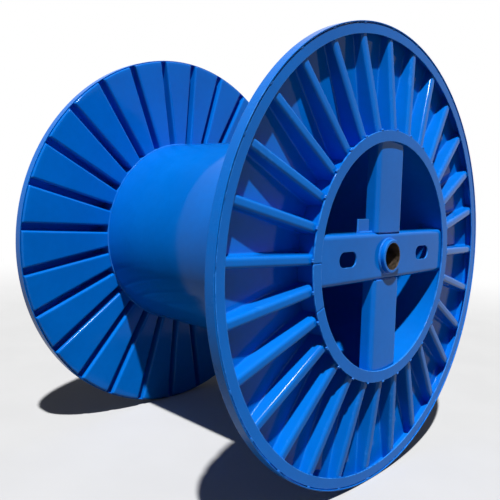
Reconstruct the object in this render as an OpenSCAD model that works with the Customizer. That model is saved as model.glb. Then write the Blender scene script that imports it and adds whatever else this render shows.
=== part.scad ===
// Corrugated steel cable drum: barrel between two pressed flanges with hoops, rings, crosses and hubs.
// Millimetres. The drum axis runs along Y, +Z is up, the drum lies on its two hoops at Z = 0.

/* [Flange] */
// Diameter over the hoop, the surface the drum rolls on
flange_d = 1400; // [1380:1:1420]
// Axial width of the hoop bar
hoop_w = 32; // [30:0.5:38]
// Thickness of the hoop bar
hoop_t = 4; // [3:0.25:5]
// Chamfer on the hoop edges
hoop_edge = 0.8; // [0.4:0.1:1.2]
// Radial width of the outer face ring
face_ring_w = 32; // [26:0.5:36]
// Thickness of the outer face ring
face_ring_t = 4; // [3:0.25:5]
// Distance the face ring sits back from the hoop edge
face_ring_set = 2; // [1:0.5:4]

/* [Corrugated sheet] */
// Number of pressed ribs in a flange
rib_count = 28; // [24:1:30]
// Width of a rib over its walls
rib_w = 30; // [26:0.5:34]
// Outside bend radius along the rib crest
crest_r = 10; // [7:0.5:12]
// Bend radius on the winding side where a panel turns into a rib
mouth_r = 8; // [6:0.5:10]
// Sheet thickness
sheet_t = 2.5; // [2:0.25:3]
// Turn of the front sheet against the cross, degrees
front_turn = -1.3; // [-6:0.1:6]
// Turn of the back sheet against the cross, degrees
back_turn = 2.5; // [-6:0.1:6]

/* [Barrel] */
// Clear width between the two flanges
winding_w = 928; // [800:1:1000]
// Outside diameter of the barrel
barrel_d = 720; // [700:2:740]
// Wall of the barrel
barrel_t = 4; // [3:0.25:5]

/* [Inner ring] */
// Distance the inner ring reaches out past the outside of the barrel
ring_over = 21; // [16:0.5:28]
// Distance the inner ring reaches in past the outside of the barrel
ring_lip = 13; // [9:0.5:18]
// Thickness of the inner ring
ring_t = 5; // [4:0.25:6]
// Distance the inner ring stands out beyond the hoop edge
ring_out = 33; // [28:0.5:38]

/* [Cross] */
// Height of the bar and width of the arms
channel_h = 144; // [134:1:154]
// Depth of the folded channels
channel_depth = 40; // [36:0.5:44]
// Plate thickness of the channels
channel_t = 5; // [4:0.25:6]
// Outside bend radius of the channels
channel_r = 14; // [10:0.5:16]
// Distance the channel faces sit back from the inner ring face
cross_set = 8; // [6.5:0.5:12]
// Distance of a drive slot from the drum axis
slot_offset = 213; // [200:1:230]
// Width of a drive slot
slot_w = 44; // [40:0.5:50]
// Length of a drive slot over its round ends
slot_len = 84; // [70:1:95]

/* [Hub] */
// Outside diameter of the hub tube
hub_d = 102; // [96:1:110]
// Spindle bore
bore_d = 80; // [76:0.5:84]
// Length of the hub tube
hub_len = 72; // [60:1:90]
// Distance the hub stands out from the bar face
hub_out = 17; // [12:0.5:26]
// Chamfer on the hub end edges
hub_edge = 2; // [1:0.25:3]

/* [Lug] */
// Width of the lug plate on the bar
lug_w = 55; // [45:1:60]
// Height of the lug plate
lug_h = 40; // [30:1:50]
// Thickness of the lug plate
lug_t = 6; // [4:0.5:8]
// Distance of the lug middle from the drum axis
lug_x = 117; // [105:1:140]
// Distance the lug face sits back from the bar face
lug_set = 16; // [14.5:0.5:22]

/* [Fit] */
// Gap left where two pieces are welded together
weld_gap = 0.2; // [0.1:0.05:0.4]

/* [Hidden] */

// Facets of a true circle and steps of a quarter bend
$fn = 96;
bend_steps = 5;
// Lap of a bend into the wall it runs into
bend_lap = 0.05;
// Lip of a rib foot inside the panel, and how deep the bends of foot and mouth run into the panel faces
foot_lip = 3;
foot_sink = 0.05;
mouth_sink = 0.2;
// Lap of a panel edge into the rib foot
panel_lap = 0.8;
// Extra length of cutters past the faces they cut
over = 10;

// Radii
flange_r = flange_d / 2;
hoop_in_r = flange_r - hoop_t;
sheet_out_r = hoop_in_r - weld_gap;
face_ring_out_r = hoop_in_r - weld_gap;
face_ring_in_r = face_ring_out_r - face_ring_w;
barrel_r = barrel_d / 2;
barrel_in_r = barrel_r - barrel_t;
sheet_in_r = barrel_r + weld_gap;
ring_r = barrel_r + ring_over;
ring_in_r = barrel_r - ring_lip;
cross_r = barrel_in_r - weld_gap;

// Heights out from the winding face of a flange
face_ring_front_h = hoop_w - face_ring_set;
face_ring_back_h = face_ring_front_h - face_ring_t;
ring_front_h = hoop_w + ring_out;
ring_back_h = ring_front_h - ring_t;
cross_face_h = ring_front_h - cross_set;
hub_tip_h = cross_face_h + hub_out;
lug_face_h = cross_face_h - lug_set;

// Rib crest line: it falls from the barrel to the face ring
crest_in_h = ring_back_h - weld_gap;
crest_out_h = face_ring_back_h - weld_gap;
crest_fall = atan((crest_in_h - crest_out_h) / (face_ring_in_r - sheet_in_r));
rib_step = 360 / rib_count;
rib_half = rib_w / 2;
rib_deep = crest_in_h + 2 * over;
rib_inward = face_ring_in_r - sheet_in_r + 2 * over;
rib_outward = sheet_out_r - face_ring_in_r + 2 * over;
groove_half = rib_half - sheet_t;
mouth_half = groove_half + mouth_r;
valley_r = mouth_r - sheet_t;
panel_gap = 2 * (mouth_half - panel_lap);

axis_h = flange_r;
channel_half = channel_h / 2;
slot_end_r = slot_w / 2;
slot_mid = (slot_len - slot_w) / 2;

paint = [0.0, 0.36, 0.80];
bare = [0.45, 0.40, 0.36];

// Points of a bend about a centre between two angles
function bend(c, r, from, to) =
    [for (i = [0 : bend_steps]) let (a = from + (to - from) * i / bend_steps) c + r * [cos(a), sin(a)]];

// Flat ring or tube about the local axis between two heights
module ring_solid(r_out, r_in, low, high) {
    translate([0, 0, low])
        difference() {
            cylinder(r = r_out, h = high - low);
            translate([0, 0, -over])
                cylinder(r = r_in, h = high - low + 2 * over);
        }
}

// Local flange frame stands on the winding face, +Z outward, X to the right seen from outside
module at_front() {
    translate([0, -winding_w / 2, axis_h]) rotate([90, 0, 0]) children();
}

module at_back() {
    translate([0, winding_w / 2, axis_h]) rotate([90, 0, 180]) children();
}

// Section with a rounded top at height 0, given half width and bend radius
module crest_section(half, r) {
    polygon(concat(
        [[-half, -rib_deep], [half, -rib_deep]],
        bend([half - r, -r], r, 0, 90),
        bend([-half + r, -r], r, 90, 180)
    ));
}

// Bar of that section along the sloping crest line of one rib
module crest_run(half, r, sink) {
    translate([face_ring_in_r, 0, crest_out_h - sink])
        rotate([0, crest_fall, 0])
            translate([-rib_inward, 0, 0])
                rotate([90, 0, 90])
                    linear_extrude(rib_inward + rib_outward)
                        crest_section(half, r);
}

// Level bar along one rib with a given section
module level_run() {
    translate([sheet_in_r - over, 0, 0])
        rotate([90, 0, 90])
            linear_extrude(sheet_out_r - sheet_in_r + 2 * over)
                children();
}

// Section of the rib foot with its two valley bends and a lip sunk in the panel on each side
module foot_section() {
    lip_half = mouth_half + foot_lip;
    polygon(concat(
        [[-lip_half, -over / 2], [lip_half, -over / 2], [lip_half, sheet_t / 2], [mouth_half, sheet_t / 2]],
        bend([mouth_half - bend_lap, mouth_r - foot_sink], valley_r, 270, 180),
        bend([-mouth_half + bend_lap, mouth_r - foot_sink], valley_r, 0, -90),
        [[-mouth_half, sheet_t / 2], [-lip_half, sheet_t / 2]]
    ));
}

// Section of the groove mouth with its two rounded panel edges
module mouth_section() {
    polygon(concat(
        [[-mouth_half, -2 * over], [mouth_half, -2 * over]],
        bend([mouth_half - bend_lap, mouth_r - mouth_sink], mouth_r, 270, 180),
        bend([-mouth_half + bend_lap, mouth_r - mouth_sink], mouth_r, 0, -90)
    ));
}

// One pressed rib, open to the winding side
module rib() {
    difference() {
        union() {
            crest_run(rib_half, crest_r, 0);
            level_run() foot_section();
        }
        crest_run(groove_half, crest_r - sheet_t, sheet_t);
        level_run() mouth_section();
    }
}

// Flat panels between the ribs
module panels() {
    difference() {
        ring_solid(sheet_out_r + over / 2, sheet_in_r - over / 2, -over, sheet_t);
        for (i = [0 : rib_count - 1]) rotate([0, 0, i * rib_step])
            translate([sheet_in_r - 2 * over, -panel_gap / 2, -2 * over])
                cube([sheet_out_r - sheet_in_r + 4 * over, panel_gap, 4 * over]);
    }
}

// Pressed sheet: flat panels at the winding face, ribs outward, trimmed to the barrel and the hoop
module corrugated_disc(turn) {
    rotate([0, 0, turn])
        difference() {
            union() {
                panels();
                for (i = [0 : rib_count - 1]) rotate([0, 0, i * rib_step]) rib();
            }
            translate([0, 0, -3 * rib_deep]) cylinder(r = 2 * flange_r, h = 3 * rib_deep);
            translate([0, 0, -rib_deep]) cylinder(r = sheet_in_r, h = 3 * rib_deep);
            ring_solid(flange_r + 4 * over, sheet_out_r, -rib_deep, 2 * rib_deep);
        }
}

module hoop() {
    rotate_extrude()
        polygon([[hoop_in_r, 0], [flange_r - hoop_edge, 0], [flange_r, hoop_edge],
                 [flange_r, hoop_w - hoop_edge], [flange_r - hoop_edge, hoop_w], [hoop_in_r, hoop_w]]);
}

module face_ring() {
    ring_solid(face_ring_out_r, face_ring_in_r, face_ring_back_h, face_ring_front_h);
}

module inner_ring() {
    ring_solid(ring_r, ring_in_r, ring_back_h, ring_front_h);
}

// Folded channel section, web at the cross face, flanges toward the barrel
module channel_section() {
    low = cross_face_h - channel_depth;
    bend_h = cross_face_h - channel_r;
    bend_v = channel_half - channel_r;
    in_r = channel_r - channel_t;
    in_half = channel_half - channel_t;
    polygon(concat(
        [[in_half, low], [channel_half, low]],
        bend([bend_v, bend_h], channel_r, 0, 90),
        bend([-bend_v, bend_h], channel_r, 90, 180),
        [[-channel_half, low], [-in_half, low]],
        bend([-bend_v, bend_h], in_r, 180, 90),
        bend([bend_v, bend_h], in_r, 90, 0)
    ));
}

// Cylinder that trims the cross to the barrel wall
module barrel_inside() {
    translate([0, 0, -over]) cylinder(r = cross_r, h = ring_back_h + 2 * over);
}

module slot_cut(x) {
    translate([x, 0, cross_face_h - 2 * channel_t])
        linear_extrude(2 * channel_t + over)
            union() {
                square([2 * slot_mid, slot_w], center = true);
                translate([-slot_mid, 0]) circle(r = slot_end_r);
                translate([slot_mid, 0]) circle(r = slot_end_r);
            }
}

module bar() {
    difference() {
        intersection() {
            translate([-barrel_r, 0, 0])
                rotate([90, 0, 90])
                    linear_extrude(barrel_d)
                        channel_section();
            barrel_inside();
        }
        translate([0, 0, -over]) cylinder(r = hub_d / 2 + weld_gap, h = hub_tip_h + 2 * over);
        slot_cut(-slot_offset);
        slot_cut(slot_offset);
    }
}

// Arm from the bar to the barrel wall, upward in the local frame
module arm() {
    intersection() {
        translate([0, barrel_r, 0])
            rotate([90, 0, 0])
                linear_extrude(barrel_r - channel_half - weld_gap)
                    channel_section();
        barrel_inside();
    }
}

module hub() {
    tip_r = hub_d / 2;
    in_r = bore_d / 2;
    low = hub_tip_h - hub_len;
    rotate_extrude()
        polygon([[in_r, low + hub_edge], [in_r + hub_edge, low], [tip_r - hub_edge, low],
                 [tip_r, low + hub_edge], [tip_r, hub_tip_h - hub_edge], [tip_r - hub_edge, hub_tip_h],
                 [in_r + hub_edge, hub_tip_h], [in_r, hub_tip_h - hub_edge]]);
}

module lug() {
    translate([-lug_x - lug_w / 2, channel_half + weld_gap, lug_face_h - lug_t])
        cube([lug_w, lug_h, lug_t]);
}

module barrel() {
    color(paint)
        translate([0, 0, axis_h])
            rotate([90, 0, 0])
                ring_solid(barrel_r, barrel_in_r, -winding_w / 2 - ring_back_h, winding_w / 2 + ring_back_h);
}

module disc_front() { color(paint) at_front() corrugated_disc(front_turn); }
module disc_back() { color(paint) at_back() corrugated_disc(back_turn); }
module hoop_front() { color(paint) at_front() hoop(); }
module hoop_back() { color(paint) at_back() hoop(); }
module face_ring_front() { color(paint) at_front() face_ring(); }
module face_ring_back() { color(paint) at_back() face_ring(); }
module inner_ring_front() { color(paint) at_front() inner_ring(); }
module inner_ring_back() { color(paint) at_back() inner_ring(); }
module bar_front() { color(paint) at_front() bar(); }
module bar_back() { color(paint) at_back() bar(); }
module upper_arm_front() { color(paint) at_front() arm(); }
module upper_arm_back() { color(paint) at_back() arm(); }
module lower_arm_front() { color(paint) at_front() rotate([0, 0, 180]) arm(); }
module lower_arm_back() { color(paint) at_back() rotate([0, 0, 180]) arm(); }
module hub_front() { color(bare) at_front() hub(); }
module hub_back() { color(bare) at_back() hub(); }
module lug_front() { color(paint) at_front() lug(); }

barrel();
disc_front();
disc_back();
hoop_front();
hoop_back();
face_ring_front();
face_ring_back();
inner_ring_front();
inner_ring_back();
bar_front();
bar_back();
upper_arm_front();
upper_arm_back();
lower_arm_front();
lower_arm_back();
hub_front();
hub_back();
lug_front();
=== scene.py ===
"""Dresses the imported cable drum: pressed flanges, rings, crosses, hubs, welds, enamel, studio and camera."""

from __future__ import annotations

import logging
import math
from collections.abc import Callable, Sequence
from dataclasses import dataclass, field
from enum import Enum

import bpy
from mathutils import Matrix, Vector
from mathutils.geometry import delaunay_2d_cdt

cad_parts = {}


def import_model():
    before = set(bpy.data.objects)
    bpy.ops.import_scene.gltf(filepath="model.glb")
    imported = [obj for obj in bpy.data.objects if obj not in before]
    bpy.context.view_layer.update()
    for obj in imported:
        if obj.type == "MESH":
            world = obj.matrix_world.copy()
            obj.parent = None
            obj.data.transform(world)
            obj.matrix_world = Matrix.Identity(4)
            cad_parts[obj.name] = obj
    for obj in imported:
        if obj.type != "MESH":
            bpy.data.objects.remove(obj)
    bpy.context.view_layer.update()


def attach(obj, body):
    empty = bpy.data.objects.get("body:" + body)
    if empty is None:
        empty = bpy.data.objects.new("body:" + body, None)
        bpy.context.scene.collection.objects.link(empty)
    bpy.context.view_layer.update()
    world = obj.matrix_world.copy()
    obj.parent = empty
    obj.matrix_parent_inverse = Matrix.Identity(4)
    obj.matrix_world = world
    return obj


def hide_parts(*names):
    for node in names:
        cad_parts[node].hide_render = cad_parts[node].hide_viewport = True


LOG = logging.getLogger("cable_drum")
BODY = "root"
# Point attribute on roundings and bends: it sets rubbed paint and a painted pale highlight along those edges.
WEAR_AND_HIGHLIGHT = "wear_and_highlight"
FRONT_RIB_TURN = -1.3
BACK_RIB_TURN = 2.5
MM = 0.001
SAME_POINT = 1e-6
MESH_TOLERANCE = 1e-7
FLAT_WEIGHT = 100
JOINT_CLEAR = 4.5
JOINT_GROOVE = ((-3.0, 0.0), (-0.8, 1.9), (0.8, 1.9), (3.0, 0.0))
WHITE = (1.0, 1.0, 1.0, 1.0)

FLOAT = "NodeSocketFloat"
WHOLE = "NodeSocketInt"
COLOUR = "NodeSocketColor"
SHAPE = "NodeSocketGeometry"
MATERIAL = "NodeSocketMaterial"

Point2 = tuple[float, float]
Box = tuple[float, float, float, float]
Colour = tuple[float, float, float, float]
Socket = bpy.types.NodeSocket


@dataclass(frozen=True)
class DrumSizes:
    """Sizes of the drum in millimetres; heights run outward from the winding face of a flange."""

    axis_height: float = 700.0
    half_width: float = 464.0
    flange_r: float = 700.0
    hoop_t: float = 4.0
    hoop_w: float = 32.0
    panel_set: float = 8.0
    gap: float = 0.2
    face_ring_w: float = 32.0
    face_ring_low: float = 26.0
    face_ring_high: float = 30.0
    barrel_r: float = 360.0
    barrel_t: float = 4.0
    ring_r: float = 381.0
    ring_in_r: float = 347.0
    ring_low: float = 60.0
    ring_high: float = 65.0
    cross_face: float = 57.0
    channel_half: float = 72.0
    channel_r: float = 14.0
    channel_t: float = 5.0
    channel_depth: float = 40.0
    hub_r: float = 51.0
    bore_r: float = 40.0
    hub_low: float = 2.0
    hub_high: float = 74.0
    hub_edge: float = 2.0

    @property
    def hoop_in_r(self) -> float:
        """Inside radius of the hoop."""
        return self.flange_r - self.hoop_t

    @property
    def face_ring_out_r(self) -> float:
        """Outside radius of the face ring."""
        return self.hoop_in_r - self.gap

    @property
    def face_ring_in_r(self) -> float:
        """Inside radius of the face ring."""
        return self.face_ring_out_r - self.face_ring_w

    @property
    def sheet_in_r(self) -> float:
        """Inside radius of the pressed sheet."""
        return self.barrel_r + self.gap

    @property
    def cross_r(self) -> float:
        """Radius that the cross is trimmed to inside the barrel."""
        return self.barrel_r - self.barrel_t - self.gap


SIZES = DrumSizes()


class Side(Enum):
    """The two flanges of the drum."""

    FRONT = "front"
    BACK = "back"

    def place(self) -> Matrix:
        """Matrix from flange millimetres (x, y, height) to the drum's metres.

        Returns:
            The matrix.
        """
        sign = 1.0 if self is Side.FRONT else -1.0
        rows = (
            (sign, 0.0, 0.0, 0.0),
            (0.0, 0.0, -sign, -sign * SIZES.half_width),
            (0.0, 1.0, 0.0, SIZES.axis_height),
            (0.0, 0.0, 0.0, 1.0),
        )
        return Matrix.Scale(MM, 4) @ Matrix(rows)

    @property
    def rib_turn(self) -> float:
        """Turn of the pressed sheet against the cross, radians, seen from outside."""
        return math.radians(FRONT_RIB_TURN if self is Side.FRONT else BACK_RIB_TURN)


@dataclass
class Draft:
    """Points and faces of one piece in flange millimetres, collected before they become a mesh."""

    points: list[Vector] = field(default_factory=list)
    wear_and_highlight: list[float] = field(default_factory=list)
    faces: list[tuple[int, ...]] = field(default_factory=list)
    coats: list[int] = field(default_factory=list)

    def point(self, x: float, y: float, h: float, wear_and_highlight: float = 0.0) -> int:
        """Adds a point.

        Args:
            x: place to the right.
            y: place upward.
            h: height out from the flange.
            wear_and_highlight: how far its paint is rubbed, which also sets how strongly it gets a painted
                pale edge highlight.

        Returns:
            Its index.
        """
        self.points.append(Vector((x, y, h)))
        self.wear_and_highlight.append(wear_and_highlight)
        return len(self.points) - 1

    def face(self, *corners: int, coat: int = 0) -> None:
        """Adds a face from point indices, with the index of its finish."""
        self.faces.append(corners)
        self.coats.append(coat)

    def band(
        self, upper: Sequence[int], lower: Sequence[int], flip: bool = False, coats: Sequence[int] = ()
    ) -> None:
        """Joins two closed loops of equally many points by quads.

        Args:
            upper: point indices of the first loop.
            lower: point indices of the second loop.
            flip: whether the quads face the other way.
            coats: finish index of each quad, if not the first finish.
        """
        count = len(upper)
        for i in range(count):
            k = (i + 1) % count
            quad = (upper[i], lower[i], lower[k], upper[k])
            self.face(*(reversed(quad) if flip else quad), coat=coats[i] if coats else 0)

    def mesh(self, name: str, place: Matrix) -> bpy.types.Mesh:
        """Makes the mesh.

        Args:
            name: name of the mesh.
            place: matrix from the draft's millimetres to metres.

        Returns:
            The mesh, smooth shaded, with the wear attribute on its points.
        """
        mesh = bpy.data.meshes.new(name)
        mesh.from_pydata([place @ p for p in self.points], [], self.faces)
        mesh.attributes.new(WEAR_AND_HIGHLIGHT, "FLOAT", "POINT").data.foreach_set("value", self.wear_and_highlight)
        mesh.polygons.foreach_set("material_index", self.coats)
        mesh.shade_smooth()
        mesh.update()
        return mesh


def make_object(name: str, mesh: bpy.types.Mesh, finishes: Sequence[bpy.types.Material]) -> bpy.types.Object:
    """Links a new object that shows a mesh.

    Args:
        name: name of the piece.
        mesh: its mesh, already in place.
        finishes: its materials, in slot order.

    Returns:
        The object, at the origin.
    """
    obj = bpy.data.objects.new(name, mesh)
    for finish in finishes:
        if finish.name not in mesh.materials:
            mesh.materials.append(finish)
    bpy.context.scene.collection.objects.link(obj)
    return obj


def level_flats(obj: bpy.types.Object) -> None:
    """Lets the large flat faces of a piece set the shading normals along their edges.

    Args:
        obj: the piece; its mesh is replaced.
    """
    modifier = obj.modifiers.new("flats", "WEIGHTED_NORMAL")
    modifier.keep_sharp = True
    modifier.weight = FLAT_WEIGHT
    graph = bpy.context.evaluated_depsgraph_get()
    seen = obj.evaluated_get(graph)
    mesh = bpy.data.meshes.new_from_object(seen, preserve_all_data_layers=True, depsgraph=graph)
    obj.modifiers.remove(modifier)
    obj.data = mesh


def settle(
    obj: bpy.types.Object, nodes: Sequence[str] = (), crease: float = 35.0, flats: bool = False
) -> None:
    """Finishes a piece: sharp edges, body and the solids it stands for.

    Args:
        obj: the piece.
        nodes: solids that the piece replaces.
        crease: angle in degrees past which an edge is shaded sharp.
        flats: whether its flat faces set the normals along their edges.
    """
    obj.data.set_sharp_from_angle(angle=math.radians(crease))
    if flats:
        level_flats(obj)
    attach(obj, BODY)
    if nodes:
        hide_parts(*nodes)
    LOG.info("%s: %d faces", obj.name, len(obj.data.polygons))


def show(
    draft: Draft,
    name: str,
    place: Matrix,
    finishes: Sequence[bpy.types.Material],
    node: str,
    flats: bool = False,
) -> None:
    """Turns a draft into a finished piece that replaces one solid; its arguments go to mesh and settle."""
    settle(make_object(name, draft.mesh(name, place), finishes), [node], flats=flats)


def arc(centre: Point2, radius: float, start: float, end: float, steps: int) -> list[Point2]:
    """Points of an arc in so many chords, from a start to an end angle in degrees."""
    turns = [math.radians(start + (end - start) * i / steps) for i in range(steps + 1)]
    return [(centre[0] + radius * math.cos(a), centre[1] + radius * math.sin(a)) for a in turns]


def raised(points: Sequence[Point2], height: float) -> list[Vector]:
    """Flat points, raised to a height."""
    return [Vector((x, y, height)) for x, y in points]


def rounded(corners: Sequence[Point2], radius: float, steps: int = 3) -> list[tuple[float, float, float]]:
    """Rounds the corners of a closed section.

    Args:
        corners: corner points in order.
        radius: rounding of each corner.
        steps: chords of each rounding.

    Returns:
        Points with their edge mark, one on the roundings and nothing on the flats; the mark sets rubbed paint
        and a painted pale highlight.
    """
    out: list[tuple[float, float, float]] = []
    count = len(corners)
    for i, corner in enumerate(corners):
        here = Vector(corner)
        back = (Vector(corners[i - 1]) - here).normalized()
        ahead = (Vector(corners[(i + 1) % count]) - here).normalized()
        spread = back.angle(ahead)
        reach = radius / math.tan(spread / 2)
        first, last = here + back * reach, here + ahead * reach
        support_a, support_b = here + back * (reach + radius), here + ahead * (reach + radius)
        out.append((support_a.x, support_a.y, 0.0))
        for k in range(steps + 1):
            t = k / steps
            blend = first * (1 - t) ** 2 + here * (2 * t * (1 - t)) + last * t**2
            out.append((blend.x, blend.y, 1.0))
        out.append((support_b.x, support_b.y, 0.0))
    return out


def lathe(
    section: Sequence[tuple[float, float, float]],
    segments: int,
    coats: Sequence[int] = (),
    joints: Sequence[float] = (),
) -> Draft:
    """Turns a closed section about the drum axis.

    Args:
        section: (radius, height, edge mark) points, anticlockwise with the radius to the right; the edge mark
            sets rubbed paint and a painted pale highlight.
        segments: number of steps around.
        coats: finish index of the strip that starts at each section point, if not the first finish.
        joints: angles in degrees of butt joints, each left as a shallow groove across the ring.

    Returns:
        The draft of the ring.
    """
    draft = Draft()
    count = len(section)
    heights = [h for _, h, _ in section]
    mid = (min(heights) + max(heights)) / 2
    reach = max(r for r, _, _ in section)
    stations = [(2 * math.pi * j / segments, 0.0) for j in range(segments)]
    for joint in joints:
        middle = math.radians(joint)
        stations = [s for s in stations if abs(s[0] - middle) * reach > JOINT_CLEAR]
        stations += [(middle + offset / reach, sink) for offset, sink in JOINT_GROOVE]
    stations.sort()
    for a, sink in stations:
        for r, h, wear_and_highlight in section:
            draft.point(r * math.cos(a), r * math.sin(a), h - math.copysign(sink, h - mid), wear_and_highlight)
    for j in range(len(stations)):
        here, ahead = j * count, (j + 1) % len(stations) * count
        draft.band(range(here, here + count), range(ahead, ahead + count), coats=coats)
    return draft


class NodeKind(Enum):
    """Trees that the script builds."""

    GEOMETRY = "GeometryNodeTree"
    SHADER = "ShaderNodeTree"


@dataclass
class Tree:
    """A node tree being wired up, with short ways to add nodes and links."""

    tree: bpy.types.NodeTree

    @classmethod
    def group(cls, name: str, kind: NodeKind, inputs: Sequence[tuple], outputs: Sequence[tuple]) -> Tree:
        """Starts a group.

        Args:
            name: name of the group.
            kind: geometry or shader.
            inputs: (name, socket type, default or None) rows.
            outputs: (name, socket type) rows.

        Returns:
            The tree with its interface made.
        """
        made = bpy.data.node_groups.new(name, kind.value)
        for label, socket, default in inputs:
            item = made.interface.new_socket(label, in_out="INPUT", socket_type=socket)
            if default is not None:
                item.default_value = default
        for label, socket in outputs:
            made.interface.new_socket(label, in_out="OUTPUT", socket_type=socket)
        return cls(made)

    def add(self, kind: str, feeds: dict | None = None, **settings: object) -> bpy.types.Node:
        """Adds a node.

        Args:
            kind: Blender's name of the node.
            feeds: sockets or values of its inputs, by their names or numbers.
            settings: properties of the node.

        Returns:
            The node.
        """
        node = self.tree.nodes.new(kind)
        for key, value in settings.items():
            setattr(node, key, value)
        self.feed(node, feeds or {})
        return node

    def feed(self, node: bpy.types.Node, feeds: dict) -> None:
        """Joins sockets to a node's inputs, or sets their values.

        Args:
            node: the node.
            feeds: sockets or values by the name or number of the input.
        """
        for key, value in feeds.items():
            if isinstance(value, Socket):
                self.tree.links.new(value, node.inputs[key])
            else:
                node.inputs[key].default_value = value

    def given(self) -> bpy.types.NodeOutputs:
        """Adds the group's input node and returns its sockets."""
        return self.add("NodeGroupInput").outputs

    def coords(self) -> Socket:
        """Adds and returns the object coordinates."""
        return self.add("ShaderNodeTexCoord").outputs["Object"]

    def math(self, operation: str, a: object, b: object = 0.0, c: object = 0.0) -> Socket:
        """Adds a math node on sockets or numbers and returns its output."""
        return self.add("ShaderNodeMath", {0: a, 1: b, 2: c}, operation=operation).outputs[0]

    def mix(self, factor: object, a: object, b: object) -> Socket:
        """Mixes two colours, sockets or values, and returns the colour."""
        return self.add("ShaderNodeMix", {0: factor, 6: a, 7: b}, data_type="RGBA").outputs[2]

    def ramp(
        self, value: Socket, low: float, high: float, to_low: float = 0.0, to_high: float = 1.0
    ) -> Socket:
        """Maps a value smoothly from one range to another and returns it."""
        feeds = {0: value, 1: low, 2: high, 3: to_low, 4: to_high}
        return self.add("ShaderNodeMapRange", feeds, interpolation_type="SMOOTHSTEP").outputs[0]

    def noise(self, coords: Socket, scale: float, detail: float = 3.0, rough: float = 0.55) -> Socket:
        """Adds a noise texture and returns its value."""
        feeds = {"Vector": coords, "Scale": scale, "Detail": detail, "Roughness": rough}
        return self.add("ShaderNodeTexNoise", feeds).outputs[0]

    def bump(self, height: Socket, strength: float, distance: float) -> Socket:
        """Adds a bump from a height and returns the normal."""
        feeds = {"Strength": strength, "Distance": distance, "Height": height}
        return self.add("ShaderNodeBump", feeds).outputs[0]

    def paint(self, geometry: Socket, material: Socket) -> None:
        """Realizes a geometry group's result, sets its material and hands it out.

        Args:
            geometry: socket of the result.
            material: socket of the material.
        """
        real = self.add("GeometryNodeRealizeInstances", {0: geometry}).outputs[0]
        painted = self.add("GeometryNodeSetMaterial", {"Geometry": real, "Material": material})
        self.add("NodeGroupOutput", {0: painted.outputs[0]})


def new_material(name: str) -> tuple[bpy.types.Material, Tree, bpy.types.Node]:
    """Starts a material.

    Args:
        name: its name.

    Returns:
        The material, its tree and its surface shader.
    """
    material = bpy.data.materials.new(name)
    material.use_nodes = True
    return material, Tree(material.node_tree), material.node_tree.nodes["Principled BSDF"]


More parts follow.
